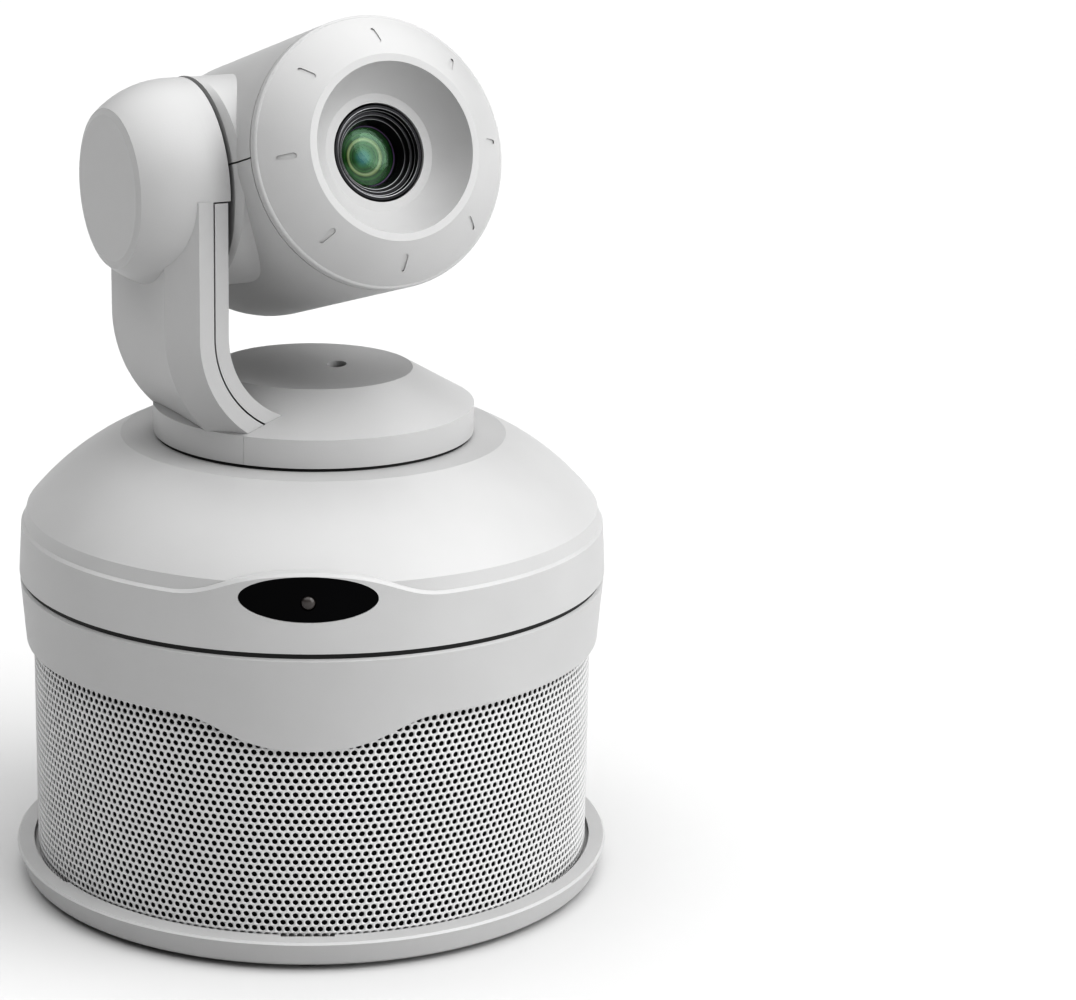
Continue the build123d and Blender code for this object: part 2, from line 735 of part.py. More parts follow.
with BuildPart() as arm_outer_shell:
    # the part of the disc's wall that is moulded with the arm
    turn(
        [
            (disc_radius - skin, disc_bottom), (disc_radius, disc_bottom),
            (disc_radius, disc_edge), (46, 164.7), (44, 163.3), (disc_radius - skin, disc_edge - 1.4),
        ],
        Plane.XZ, Axis.Z,
    )
    with BuildSketch(arm_section):
        with Locations((60, 150)):
            Rectangle(100, 60)
    extrude(amount=arm_half_width, both=True, mode=Mode.INTERSECT)
    with BuildSketch(arm_section):
        with Locations((10, 150)):
            Rectangle(40, 60)
    extrude(amount=80, both=True, mode=Mode.SUBTRACT)
    arm_slab(
        square_section(arm_inner - 1, arm_seam + seam_gap / 2, arm_half_width + 1), 75, Mode.SUBTRACT
    )
    arm_slab(
        ridged_section(arm_seam + seam_gap / 2, arm_band, arm_outer, arm_half_width, arm_ridge),
        shell_low_angle,
    )
    with BuildSketch(boss_section):
        with BuildLine():
            Polyline((boss_inner, 0), (boss_inner, boss_radius), (boss_shoulder, boss_radius))
            RadiusArc((boss_shoulder, boss_radius), (boss_end, boss_end_radius), 33)
            Polyline((boss_end, boss_end_radius), (boss_end, 0), (boss_inner, 0))
        make_face()
    revolve(axis=tilt_axis)
    # room for the inner cover
    with BuildSketch(arm_section):
        with Locations((arm_inner - 3, tilt_height - 0.7 + seam_gap)):
            Rectangle(
                arm_seam + seam_gap / 2 - arm_inner + 3, 40, align=(Align.MIN, Align.MAX)
            )
    extrude(amount=60, both=True, mode=Mode.SUBTRACT)
    # cavities
    arm_slab(
        ridged_section(
            arm_seam - 2, arm_band - 0.4, arm_outer - skin, arm_half_width - skin, arm_ridge - 1.2
        ),
        90, Mode.SUBTRACT,
    )
    with BuildSketch(boss_section):
        with BuildLine():
            Polyline(
                (boss_inner + skin, 0), (boss_inner + skin, boss_radius - skin),
                (boss_shoulder, boss_radius - skin),
            )
            RadiusArc(
                (boss_shoulder, boss_radius - skin), (boss_end, boss_end_radius - skin), 33 - skin
            )
            Polyline((boss_end, boss_end_radius - skin), (boss_end, 0), (boss_inner + skin, 0))
        make_face()
    revolve(axis=tilt_axis, mode=Mode.SUBTRACT)
    with BuildSketch(boss_side.offset(boss_inner)):
        Circle(16)
    extrude(amount=8, mode=Mode.SUBTRACT)
    with BuildSketch(Plane.XY.offset(disc_bottom)):
        Circle(disc_radius - skin)
    extrude(amount=disc_edge - disc_bottom - 1.4, mode=Mode.SUBTRACT)
    with BuildSketch(Plane.XY.offset(disc_bottom)):
        Circle(200)
    extrude(amount=-40, mode=Mode.SUBTRACT)

with BuildPart() as arm_inner_cover:
    arm_slab(square_section(arm_inner, arm_seam - seam_gap / 2, arm_half_width), 68)
    with BuildSketch(arm_section):
        with Locations((arm_inner, tilt_height - 0.7)):
            Rectangle(30, 20, align=(Align.CENTER, Align.MIN))
    extrude(amount=60, both=True, mode=Mode.SUBTRACT)
    with BuildSketch(boss_side.offset(arm_inner - 1)):
        Circle(16)
    extrude(amount=8, mode=Mode.SUBTRACT)

with BuildPart() as arm_frame:
    arm_slab(square_section(frame_inner, frame_outer, frame_half_width), 90)
    with BuildSketch(arm_section):
        with Locations((bend_centre, plate_top)):
            Rectangle(2 * bend_centre, 3, align=(Align.MAX, Align.MIN))
    extrude(amount=frame_half_width, both=True)
    with BuildSketch(boss_side.offset(frame_inner)):
        Circle(frame_half_width)
    extrude(amount=frame_outer - frame_inner)
    with BuildSketch(boss_side.offset(frame_inner)):
        Circle(13)
    extrude(amount=frame_outer - frame_inner, mode=Mode.SUBTRACT)
    with BuildSketch(placed(pan_place, Plane.XY).offset(plate_top)):
        Circle(shaft_radius - 3.5)
        with PolarLocations(disc_screw_circle, 1, start_angle=disc_screw_angle):
            Circle(4)
    extrude(amount=8, mode=Mode.SUBTRACT)

with BuildPart() as turntable_screws:
    with BuildSketch(placed(pan_place, Plane.XY).offset(screw_seat)):
        with PolarLocations(disc_screw_circle, 1, start_angle=disc_screw_angle):
            Circle(3.1)
            RegularPolygon(1.5, 6, mode=Mode.SUBTRACT)
    extrude(amount=2.2)
    with BuildSketch(placed(pan_place, Plane.XY).offset(screw_seat)):
        with PolarLocations(disc_screw_circle, 1, start_angle=disc_screw_angle):
            Circle(1.5)
    extrude(amount=plate_bottom + 0.4 - screw_seat)
    with BuildSketch(placed(pan_place, Plane.XY).offset(plate_top + 3)):
        with Locations((9, 20), (9, -20), (-9, 20), (-9, -20)):
            Circle(3)
            RegularPolygon(1.4, 6, mode=Mode.SUBTRACT)
    extrude(amount=2)

with BuildPart() as tilt_bearing:
    with BuildSketch(boss_side.offset(frame_inner - 1)):
        Circle(13)
        Circle(hub_radius + running_fit, mode=Mode.SUBTRACT)
    extrude(amount=5)

motor_plate_face = 62.0

with BuildPart() as tilt_motor_plate:
    with BuildSketch(boss_side.offset(motor_plate_face)):
        Circle(23)
        with Locations((0, -tilt_motor_distance)):
            Circle(3, mode=Mode.SUBTRACT)
    extrude(amount=1.5)
    with BuildSketch(boss_side.offset(frame_outer)):
        with Locations((20, 0), (-20, 0)):
            Circle(2)
    extrude(amount=motor_plate_face - frame_outer)

with BuildPart() as tilt_motor:
    with BuildSketch(boss_side.offset(motor_plate_face + 1.5)):
        with Locations((0, -tilt_motor_distance + 6)):
            Circle(11)
    extrude(amount=5.4)

with BuildPart() as tilt_pinion:
    with BuildSketch(boss_side.offset(57)):
        with Locations((0, -tilt_motor_distance)):
            Circle(tilt_pinion_radius)
    extrude(amount=4)
    with BuildSketch(boss_side.offset(60)):
        with Locations((0, -tilt_motor_distance)):
            Circle(1.2)
    extrude(amount=3.3)

with BuildPart() as tilt_belt:
    belt_face = Plane(
        boss_side.offset(57.6).origin, x_dir=-boss_side.y_dir, z_dir=boss_side.z_dir
    )
    belt(belt_face, tilt_motor_distance, tilt_wheel_radius, tilt_pinion_radius, 3)

with BuildPart() as boss_cap:
    turn(
        [
            (boss_end - 2, 0), (boss_end - 2, boss_end_radius - skin),
            (boss_end, boss_end_radius - skin), (boss_end, boss_end_radius - 0.3),
            (cap_face, cap_radius), (cap_face, 0),
        ],
        boss_section, tilt_axis,
    )

# ---------------------------------------------------------------- head
pad_inner = 20.0
# Each half of the casing has its half of the pad towards the arm.
head_shells = {}
for side, name in ((1, "head_upper_shell"), (-1, "head_lower_shell")):
    with BuildPart() as shell:
        with BuildSketch(head_side):
            with BuildLine():
                Polyline(
                    (0, 0), (head_front, 0), (head_front, head_radius),
                    (head_back + head_round, head_radius),
                )
                RadiusArc(
                    (head_back + head_round, head_radius), (head_back, head_radius - head_round),
                    -head_round,
                )
                Polyline((head_back, head_radius - head_round), (head_back, 0), (0, 0))
            make_face()
        revolve(axis=lens_axis)
        with BuildSketch(head_side.offset(pad_inner)):
            Ellipse(pad_length, pad_height)
        extrude(amount=pad_face - 1.6 - pad_inner)
        with BuildSketch(head_side.offset(pad_face - 1.6)):
            Ellipse(pad_length, pad_height)
        with BuildSketch(head_side.offset(pad_face)):
            Circle(pad_radius)
        loft()
        inner = head_radius - skin
        with BuildSketch(head_side):
            with BuildLine():
                Polyline((0, 0), (head_front, 0), (head_front, inner), (head_back + head_round, inner))
                RadiusArc(
                    (head_back + head_round, inner), (head_back + skin, head_radius - head_round),
                    skin - head_round,
                )
                Polyline((head_back + skin, head_radius - head_round), (head_back + skin, 0), (0, 0))
            make_face()
        revolve(axis=lens_axis, mode=Mode.SUBTRACT)
        with BuildSketch(head_side.offset(pad_inner)):
            Circle(11)
        extrude(amount=40, mode=Mode.SUBTRACT)
        with BuildSketch(lens_front.offset(head_back)):
            with Locations((12, 14), (-12, 14), (12, -14), (-12, -14)):
                Circle(4.5)
        extrude(amount=10)
        with BuildSketch(lens_front.offset(head_back)):
            with Locations((12, 14), (-12, 14), (12, -14), (-12, -14)):
                Circle(2.7)
        extrude(amount=2, mode=Mode.SUBTRACT)
        with BuildSketch(lens_front.offset(head_back)):
            with Locations((12, 14), (-12, 14), (12, -14), (-12, -14)):
                Circle(1.3)
        extrude(amount=12, mode=Mode.SUBTRACT)
        # keep one side of the joint
        with BuildSketch(head_side):
            with Locations((0, split_height + side * seam_gap / 2)):
                Rectangle(200, 100, align=(Align.CENTER, Align.MAX if side > 0 else Align.MIN))
        extrude(amount=100, both=True, mode=Mode.SUBTRACT)
    head_shells[name] = shell

with BuildPart() as head_screws:
    with BuildSketch(lens_front.offset(head_back + 2)):
        with Locations((12, 14), (-12, 14), (12, -14), (-12, -14)):
            Circle(2.5)
            RegularPolygon(1.3, 6, mode=Mode.SUBTRACT)
    extrude(amount=-1.8)
    with BuildSketch(lens_front.offset(head_back + 2)):
        with Locations((12, 14), (-12, 14), (12, -14), (-12, -14)):
            Circle(1.3)
    extrude(amount=9)


def bezel_face(depth):
    """Outline of the bezel from its seam to the ring round the dish, set in by the depth."""
    side_end = (bezel_edge[0] - 0.6 - depth, bezel_edge[1] + 0.3 - depth)
    face_start = (bezel_edge[0] + 0.3 - depth, bezel_edge[1] - 0.6 - depth)
    Polyline((bezel_back, side_end[1]), side_end)
    RadiusArc(side_end, face_start, 0.9)
    RadiusArc(face_start, (bezel_ring[0] - depth, bezel_ring[1]), 42)


tick_count = 8
tick_inner = 33.7          # round end, nearer the lens
tick_outer = 37.2
tick_depth = 0.35

with BuildPart() as bezel_ticks:
    with BuildSketch(lens_front.offset(bezel_back)):
        for tick in range(tick_count):
            with BuildSketch(mode=Mode.PRIVATE) as drop:
                with Locations((0, tick_inner)):
                    Circle(1.0)
                with Locations((0, tick_outer)):
                    Circle(0.65)
                make_hull()
            add(drop.sketch, rotation=tick * 360 / tick_count)
    extrude(amount=20)
    with BuildSketch(head_side):
        with BuildLine():
            bezel_face(tick_depth)
            Polyline(
                (bezel_ring[0] - tick_depth, bezel_ring[1]), (bezel_ring[0] - tick_depth, 0),
                (bezel_back, 0), (bezel_back, bezel_edge[1] + 0.3 - tick_depth),
            )
        make_face()
    revolve(axis=lens_axis, mode=Mode.SUBTRACT)

with BuildPart() as front_bezel:
    with BuildSketch(head_side):
        with BuildLine():
            bezel_face(0)
            Line(bezel_ring, bezel_lip)
            RadiusArc(bezel_lip, bezel_floor, -24)
            Polyline(
                bezel_floor, (bezel_floor[0], lens_hole), (bezel_floor[0] - skin, lens_hole),
                (bezel_floor[0] - skin, bezel_floor[1] + 1),
            )
            RadiusArc(
                (bezel_floor[0] - skin, bezel_floor[1] + 1),
                (bezel_lip[0] - 3, bezel_lip[1] + 1), 24,
            )
            Polyline(
                (bezel_lip[0] - 3, bezel_lip[1] + 1), (bezel_edge[0] - 0.6, bezel_edge[1] - 4),
                (bezel_back, head_radius - skin), (bezel_back, bezel_edge[1] + 0.3),
            )
        make_face()
    revolve(axis=lens_axis)
    add(bezel_ticks.part, mode=Mode.SUBTRACT)

barrel_front = 47.2
glass_radius = 9.8

with BuildPart() as lens_barrel:
    turn(
        [
            (10, 10.5), (10, 15.2), (barrel_front - 0.4, 15.2), (barrel_front, 14.8),
            (barrel_front, 14.1), (barrel_front - 1, 13.5), (45.0, 13.5), (45.0, 12.2),
            (43.4, 11.6), (43.4, 10.9), (41.4, glass_radius), (37.0, glass_radius),
            (37.0, 8.8), (36.0, 8.8), (36.0, 10.5),
        ],
        head_side, lens_axis,
    )

with BuildPart() as front_glass:
    with BuildSketch(head_side):
        with BuildLine():
            Polyline((37.0, 0), (37.0, glass_radius), (41.0, glass_radius))
            RadiusArc((41.0, glass_radius), (43.6, 0), dome_radius(glass_radius, 2.6))
            Line((43.6, 0), (37.0, 0))
        make_face()
    revolve(axis=lens_axis)


def lens_group(start, radius, length, bulge):
    """Moving ring of the zoom lens with a glass in it; it slides in the barrel."""
    with BuildSketch(head_side) as half:
        with BuildLine():
            Polyline(
                (start, 0), (start, radius), (start + length, radius),
                (start + length, radius - 1.5),
            )
            RadiusArc(
                (start + length, radius - 1.5), (start + length + bulge, 0),
                dome_radius(radius - 1.5, bulge),
            )
            Line((start + length + bulge, 0), (start, 0))
        make_face()
    revolve(half.sketch, axis=lens_axis)


with BuildPart() as zoom_group:
    lens_group(26, 10.4, 4, 1.4)

with BuildPart() as focus_group:
    lens_group(13, 9.6, 3, 1.2)

block_half_width = 23.0
block_top = 22.0
block_bottom = -25.0

with BuildPart() as camera_block:
    with BuildSketch(lens_front.offset(-28)):
        with Locations((0, (block_top + block_bottom) / 2)):
            RectangleRounded(2 * block_half_width, block_top - block_bottom, 3)
    extrude(amount=48)
    with BuildSketch(lens_front.offset(4)):
        Circle(10.5)
    extrude(amount=40, mode=Mode.SUBTRACT)
    with BuildSketch(lens_front.offset(10)):
        Circle(15.2)
    extrude(amount=40, mode=Mode.SUBTRACT)

with BuildPart() as sensor_board:
    with BuildSketch(lens_front.offset(-29.6)):
        Rectangle(40, 38)
    extrude(amount=1.6)
    with BuildSketch(lens_front.offset(-31.6)):
        with Locations((0, 4), (-10, -11)):
            Rectangle(10, 9)
    extrude(amount=2)

with BuildPart() as head_frame:
    with BuildSketch(lens_front.offset(-25)):
        with Locations((-28, -27.5)):
            Rectangle(2.5, 48, align=(Align.MIN, Align.MIN))
        with Locations((-28, -27.5)):
            Rectangle(50, 2.5, align=(Align.MIN, Align.MIN))
    extrude(amount=44)

with BuildPart() as tilt_hub:
    with BuildSketch(head_side.offset(28)):
        Circle(10)
        Circle(hub_radius - 2.5, mode=Mode.SUBTRACT)
    extrude(amount=4)
    with BuildSketch(head_side.offset(28)):
        Circle(hub_radius)
        Circle(hub_radius - 2.5, mode=Mode.SUBTRACT)
    extrude(amount=61.6 - 28)

with BuildPart() as tilt_wheel:
    with BuildSketch(head_side.offset(57)):
        Circle(tilt_wheel_radius)
        Circle(hub_radius, mode=Mode.SUBTRACT)
    extrude(amount=4)

# ---------------------------------------------------------------- STEP files
pieces = {
    "base_flange": base_flange,
    "rubber_feet": rubber_feet,
    "tripod_insert": tripod_insert,
    "base_screws": base_screws,
    "ballast_plate": ballast_plate,
    "speaker_box": speaker_box,
    "acoustic_cloth": acoustic_cloth,
    "speaker_grille": speaker_grille,
    "speaker_frames": speaker_frames,
    "speaker_magnets": speaker_magnets,
    "speaker_surrounds": speaker_surrounds,
    "left_cone": cones["left_cone"],
    "right_cone": cones["right_cone"],
    "collar_ring": collar_ring,
    "chassis_plate": chassis_plate,
    "cover_gasket": cover_gasket,
    "rear_panel": rear_panel,
    "usb_port": usb_port,
    "network_ports": network_ports,
    "power_inlet": power_inlet,
    "reset_button": reset_button,
    "port_board": port_board,
    "amplifier_board": amplifier_board,
    "top_cover": top_cover,
    "ir_window": ir_window,
    "ir_receiver": ir_receiver,
    "receiver_board": receiver_board,
    "bearing_housing": bearing_housing,
    "pan_bushes": pan_bushes,
    "pan_shaft": pan_shaft,
    "pan_wheel": pan_wheel,
    "pan_motor": pan_motor,
    "pan_pinion": pan_pinion,
    "pan_belt": pan_belt,
    "main_board": main_board,
    "pan_disc": pan_disc,
    "turntable_plate": turntable_plate,
    "arm_outer_shell": arm_outer_shell,
    "arm_inner_cover": arm_inner_cover,
    "arm_frame": arm_frame,
    "turntable_screws": turntable_screws,
    "tilt_bearing": tilt_bearing,
    "tilt_motor_plate": tilt_motor_plate,
    "tilt_motor": tilt_motor,
    "tilt_pinion": tilt_pinion,
    "tilt_belt": tilt_belt,
    "boss_cap": boss_cap,
    "head_upper_shell": head_shells["head_upper_shell"],
    "head_lower_shell": head_shells["head_lower_shell"],
    "head_screws": head_screws,
    "front_bezel": front_bezel,
    "lens_barrel": lens_barrel,
    "front_glass": front_glass,
    "zoom_group": zoom_group,
    "focus_group": focus_group,
    "camera_block": camera_block,
    "sensor_board": sensor_board,
    "head_frame": head_frame,
    "tilt_hub": tilt_hub,
    "tilt_wheel": tilt_wheel,
}
for name, piece in pieces.items():
    piece.part.label = name
    export_step(piece.part, f"parts/{name}.step")
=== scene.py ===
import json
import math

import bmesh
import bpy
from mathutils import Matrix, Vector


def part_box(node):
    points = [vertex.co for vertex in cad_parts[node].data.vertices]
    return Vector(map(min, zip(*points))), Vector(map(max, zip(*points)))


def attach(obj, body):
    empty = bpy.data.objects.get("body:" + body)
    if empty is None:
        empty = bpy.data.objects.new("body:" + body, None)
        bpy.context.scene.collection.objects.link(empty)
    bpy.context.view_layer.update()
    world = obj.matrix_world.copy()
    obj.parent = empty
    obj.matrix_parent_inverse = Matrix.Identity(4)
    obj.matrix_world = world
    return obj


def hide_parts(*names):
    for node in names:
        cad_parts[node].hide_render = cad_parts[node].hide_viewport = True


# Desk camera that pans and tilts on a round speaker base. Metres, +Z up, -Y is the front.
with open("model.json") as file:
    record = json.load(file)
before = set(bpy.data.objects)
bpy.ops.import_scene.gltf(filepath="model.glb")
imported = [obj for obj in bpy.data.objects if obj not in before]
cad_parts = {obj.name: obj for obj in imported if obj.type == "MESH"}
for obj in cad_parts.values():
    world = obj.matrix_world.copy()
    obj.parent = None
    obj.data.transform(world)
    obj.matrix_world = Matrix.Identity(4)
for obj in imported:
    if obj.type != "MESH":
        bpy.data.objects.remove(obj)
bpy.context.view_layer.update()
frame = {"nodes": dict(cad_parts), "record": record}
nodes = frame["nodes"]

MM = 0.001
SPECKLE_SHARE = 0.12             # how much of the fine grain's colour shows
PAN_REST = math.radians(27)      # where the camera looks with every joint at zero
TILT_REST = math.radians(17)
TILT_PIVOT = Vector((0, 0, 236.5)) * MM
LENS_AXIS = Vector((
    math.sin(PAN_REST) * math.cos(TILT_REST),
    -math.cos(PAN_REST) * math.cos(TILT_REST),
    math.sin(TILT_REST),
))


# ---------------------------------------------------------------- materials
def linear(code):
    """An sRGB hex colour as the linear colour that a shader takes."""
    shares = [int(code[i:i + 2], 16) / 255 for i in (0, 2, 4)]
    return [
        share / 12.92 if share <= 0.04045 else ((share + 0.055) / 1.055) ** 2.4
        for share in shares
    ] + [1.0]


def add(tree, kind, sockets=None, links=None, **settings):
    """Add one node, set its properties and sockets, and link outputs into its inputs."""
    made = tree.nodes.new(kind)
    for name, value in settings.items():
        setattr(made, name, value)
    for name, value in (sockets or {}).items():
        made.inputs[name].default_value = value
    for name, output in (links or {}).items():
        tree.links.new(output, made.inputs[name])
    return made


def empty_material(name):
    """A material with no nodes yet, its tree and the object's own coordinates."""
    made = bpy.data.materials.new(name)
    made.use_nodes = True
    made.node_tree.nodes.clear()
    place = add(made.node_tree, "ShaderNodeTexCoord").outputs["Object"]
    return made, made.node_tree, place


def close(tree, shader):
    """Link the finished shader to the material's output."""
    add(tree, "ShaderNodeOutputMaterial", links={"Surface": shader.outputs["BSDF"]})


def mixed(tree, share, first, second):
    """Colour between two sRGB hex colours, by a share from another node."""
    return add(
        tree, "ShaderNodeMix", {6: linear(first), 7: linear(second)}, {0: share}, data_type="RGBA"
    ).outputs[2]


def between(tree, value, low, high, start=0.3, end=0.7):
    """A value from another node, spread over a range."""
    return add(
        tree, "ShaderNodeMapRange",
        {"From Min": start, "From Max": end, "To Min": low, "To Max": high}, {"Value": value},
    ).outputs["Result"]


def grained(
    name, light, dark, rough, grain, relief, patch=40 * MM, metal=0.0, stretch=(1, 1, 1),
    spread=0.05, **constants,
):
    """Colour that drifts between two tones in patches, over a fine grain in relief."""
    made, tree, place = empty_material(name)
    drawn = add(
        tree, "ShaderNodeMapping", {"Scale": stretch}, {"Vector": place}
    ).outputs["Vector"]
    patches = add(
        tree, "ShaderNodeTexNoise", {"Scale": 1 / patch, "Detail": 3.0}, {"Vector": place}
    ).outputs["Fac"]
    fine = add(
        tree, "ShaderNodeTexNoise", {"Scale": 1 / grain, "Detail": 2.0, "Roughness": 0.6},
        {"Vector": drawn},
    ).outputs["Fac"]
    tones = mixed(tree, between(tree, patches, 0, 1), dark, light)
    speckled = add(
        tree, "ShaderNodeMix", {0: SPECKLE_SHARE}, {6: tones, 7: mixed(tree, fine, dark, light)},
        data_type="RGBA",
    ).outputs[2]
    bump = add(
        tree, "ShaderNodeBump", {"Strength": 1.0, "Distance": relief}, {"Height": fine}
    ).outputs["Normal"]
    shader = add(
        tree, "ShaderNodeBsdfPrincipled", {"Metallic": metal, **constants},
        {
            "Base Color": speckled, "Normal": bump,
            "Roughness": between(tree, patches, rough - spread, rough + spread),
        },
    )
    close(tree, shader)
    return made


def woven(name, thread, light, dark, rough, relief):
    """Plain weave: threads that run round the base cross threads that run up it."""
    made, tree, place = empty_material(name)
    turns = 2 * math.pi / thread
    split = add(tree, "ShaderNodeSeparateXYZ", links={"Vector": place})
    waves = []
    for output in ("X", "Y", "Z"):
        scaled = add(
            tree, "ShaderNodeMath", {1: turns}, {0: split.outputs[output]}, operation="MULTIPLY"
        )
        waves.append(add(tree, "ShaderNodeMath", links={0: scaled.outputs[0]}, operation="SINE"))
    across = add(
        tree, "ShaderNodeMath", links={0: waves[0].outputs[0], 1: waves[1].outputs[0]},
        operation="ADD",
    )
    crossed = add(
        tree, "ShaderNodeMath", links={0: across.outputs[0], 1: waves[2].outputs[0]},
        operation="MULTIPLY",
    ).outputs[0]
    tones = mixed(tree, between(tree, crossed, 0, 1, -1.5, 1.5), dark, light)
    bump = add(
        tree, "ShaderNodeBump", {"Strength": 1.0, "Distance": relief}, {"Height": crossed}
    ).outputs["Normal"]
    close(tree, add(
        tree, "ShaderNodeBsdfPrincipled", {"Roughness": rough, "Sheen Weight": 0.2},
        {"Base Color": tones, "Normal": bump},
    ))
    return made


def lens_radius(tree, place):
    """Distance of a point from the lens axis."""
    offset = add(
        tree, "ShaderNodeVectorMath", {1: TILT_PIVOT}, {0: place}, operation="SUBTRACT"
    ).outputs[0]
    crossed = add(
        tree, "ShaderNodeVectorMath", {1: LENS_AXIS}, {0: offset}, operation="CROSS_PRODUCT"
    ).outputs[0]
    return add(
        tree, "ShaderNodeVectorMath", links={0: crossed}, operation="LENGTH"
    ).outputs["Value"]


def painted_lens_reflections():
    """Painted reflections of a multi-coated lens element: a teal middle and green and straw
    rings, set into its colour by distance from the lens axis.
    """
    made, tree, place = empty_material("coated_lens_painted_reflections")
    reach = 10 * MM
    # colours of the painted reflections, by distance from the lens axis in millimetres
    painted_reflection_rings = [
        (0.0, "6a9faa"), (1.5, "4f8d90"), (2.4, "3c7862"), (3.1, "2f6838"), (3.9, "1f4a22"),
        (4.2, "4a7a42"), (4.6, "275322"), (5.2, "c4c8a0"), (5.7, "8f9a66"), (6.0, "1e421c"),
        (6.9, "3a6e32"), (7.4, "1e4420"), (8.6, "31662f"), (8.9, "102616"), (9.15, "a680ba"),
        (9.5, "0a0d0b"),
    ]
    share = add(
        tree, "ShaderNodeMath", {1: reach}, {0: lens_radius(tree, place)}, operation="DIVIDE"
    ).outputs[0]
    ramp = add(tree, "ShaderNodeValToRGB", links={"Fac": share})
    stops = ramp.color_ramp.elements
    while len(stops) < len(painted_reflection_rings):
        stops.new(1.0)
    for stop, (radius, code) in zip(stops, painted_reflection_rings):
        stop.position = radius * MM / reach
        stop.color = linear(code)
    close(tree, add(
        tree, "ShaderNodeBsdfPrincipled",
        {
            "Roughness": 0.25, "Specular IOR Level": 0.12,
            "Coat Weight": 0.08, "Coat Roughness": 0.02,
        },
        {"Base Color": ramp.outputs["Color"]},
    ))
    return made


def front_element():
    """Ground and coated glass: clear, and its coating dims what it mirrors and tints it green."""
    made, tree, place = empty_material("coated_glass")
    dust = add(tree, "ShaderNodeTexNoise", {"Scale": 1 / (1.5 * MM)}, {"Vector": place})
    close(tree, add(
        tree, "ShaderNodeBsdfPrincipled",
        {
            "Base Color": linear("f2faf4"), "Transmission Weight": 1.0, "IOR": 1.52,
            "Specular IOR Level": 0.06, "Specular Tint": linear("c4ecd0"),
        },
        {"Roughness": between(tree, dust.outputs["Fac"], 0.0, 0.02)},
    ))
    return made


def laminate():
    """Glass-epoxy circuit board under green solder mask, with its copper tracks in relief."""
    made, tree, place = empty_material("circuit_laminate")
    tracks = add(
        tree, "ShaderNodeTexBrick",
        {
            "Color1": linear("0f5a2c"), "Color2": linear("0c4a25"), "Mortar": linear("2f8a4c"),
            "Scale": 1.0, "Mortar Size": 0.25 * MM, "Brick Width": 5 * MM, "Row Height": 2 * MM,
        },
        {"Vector": place},
    )
    bump = add(
        tree, "ShaderNodeBump", {"Distance": 0.03 * MM}, {"Height": tracks.outputs["Fac"]}
    )
    close(tree, add(
        tree, "ShaderNodeBsdfPrincipled", {"Roughness": 0.35},
        {"Base Color": tracks.outputs["Color"], "Normal": bump.outputs["Normal"]},
    ))
    return made


finishes = {
    # ABS moulded in a spark-eroded tool: matt with a fine grain and soft wide highlights;
    # the real grain is 0.1 mm and is drawn coarser so that it shows
    "cover_plastic": grained(
        "moulded_abs", "b6b6b6", "b1b1b1", 0.46, 0.5 * MM, 0.02 * MM, IOR=1.53
    ),
    # powder coat on perforated steel: slightly glossier, with orange peel
    "grille_paint": grained(
        "powder_coated_steel", "cfcfcf", "c7c7c7", 0.42, 1.2 * MM, 0.02 * MM
    ),
    # compression-moulded rubber: near black and dull, with a bloom
    "foot_rubber": grained("moulded_rubber", "1c1c1c", "121212", 0.75, 0.4 * MM, 0.02 * MM),
    # turned brass: warm, with fine rings from the tool
    "insert_brass": grained(
        "turned_brass", "c9a15a", "b08a48", 0.3, 0.3 * MM, 0.01 * MM, metal=1.0,
        stretch=(0.2, 0.2, 3),
    ),
    # steel screws in black oxide: dark, slightly oily
    "screw_steel": grained(
        "black_oxide_steel", "3a3a3c", "2a2a2c", 0.38, 0.4 * MM, 0.01 * MM, metal=0.9
    ),
    # zinc-plated sheet: grey metal with faint spangle in patches
    "plate_steel": grained(
        "zinc_plated_sheet", "b9bcc0", "9a9da2", 0.35, 0.8 * MM, 0.006 * MM, patch=8 * MM,
        metal=1.0,
    ),
    # black ABS, moulded with a fine texture: dull black
    "box_plastic": grained("black_abs", "1e1e1f", "161617", 0.5, 0.5 * MM, 0.02 * MM, IOR=1.53),
    # acoustic scrim woven from black yarn: swallows light behind the holes
    "scrim_cloth": woven("woven_scrim", 0.6 * MM, "101010", "050505", 0.9, 0.1 * MM),
    # pressed steel under black paint: satin
    "driver_steel": grained("painted_pressing", "202021", "17171a", 0.4, 1.0 * MM, 0.02 * MM),
    # butyl rubber: black, satin
    "surround_rubber": grained("butyl_rubber", "191919", "101010", 0.55, 0.4 * MM, 0.01 * MM),
    # felted paper pulp: dull, with loose fibres
    "cone_paper": grained(
        "paper_pulp", "3a3a38", "242423", 0.85, 0.7 * MM, 0.08 * MM, patch=6 * MM
    ),
    "board_laminate": laminate(),
    # cast acrylic dyed black, polished: deep black and mirror-like
    "window_plastic": grained(
        "polished_acrylic", "0b0b0d", "070708", 0.07, 6 * MM, 0.002 * MM, spread=0.02,
        **{"IOR": 1.49, "Specular IOR Level": 0.08}
    ),
    # moulded acetal: waxy white
    "drive_plastic": grained("moulded_acetal", "e9e7de", "dedbd0", 0.38, 0.6 * MM, 0.01 * MM),
    # die-cast aluminium, shot blasted: dull silver grit
    "cast_aluminium": grained(
        "blasted_aluminium", "b9babc", "a4a5a8", 0.5, 0.4 * MM, 0.03 * MM, metal=1.0
    ),
    # steel motor cans in satin black paint
    "motor_steel": grained("satin_black_paint", "232325", "1b1b1d", 0.35, 1.0 * MM, 0.01 * MM),
    # ground bearing steel: bright, with fine lines round the bore
    "bearing_steel": grained(
        "ground_steel", "c8cacd", "b0b3b7", 0.2, 0.2 * MM, 0.004 * MM, metal=1.0
    ),
    # aluminium tube in black anodising: satin black that catches light on its lips
    "barrel_black": grained(
        "black_anodised_aluminium", "2a2a2c", "1c1c1e", 0.24, 0.3 * MM, 0.004 * MM, metal=0.8
    ),
    "lens_glass": front_element(),
}


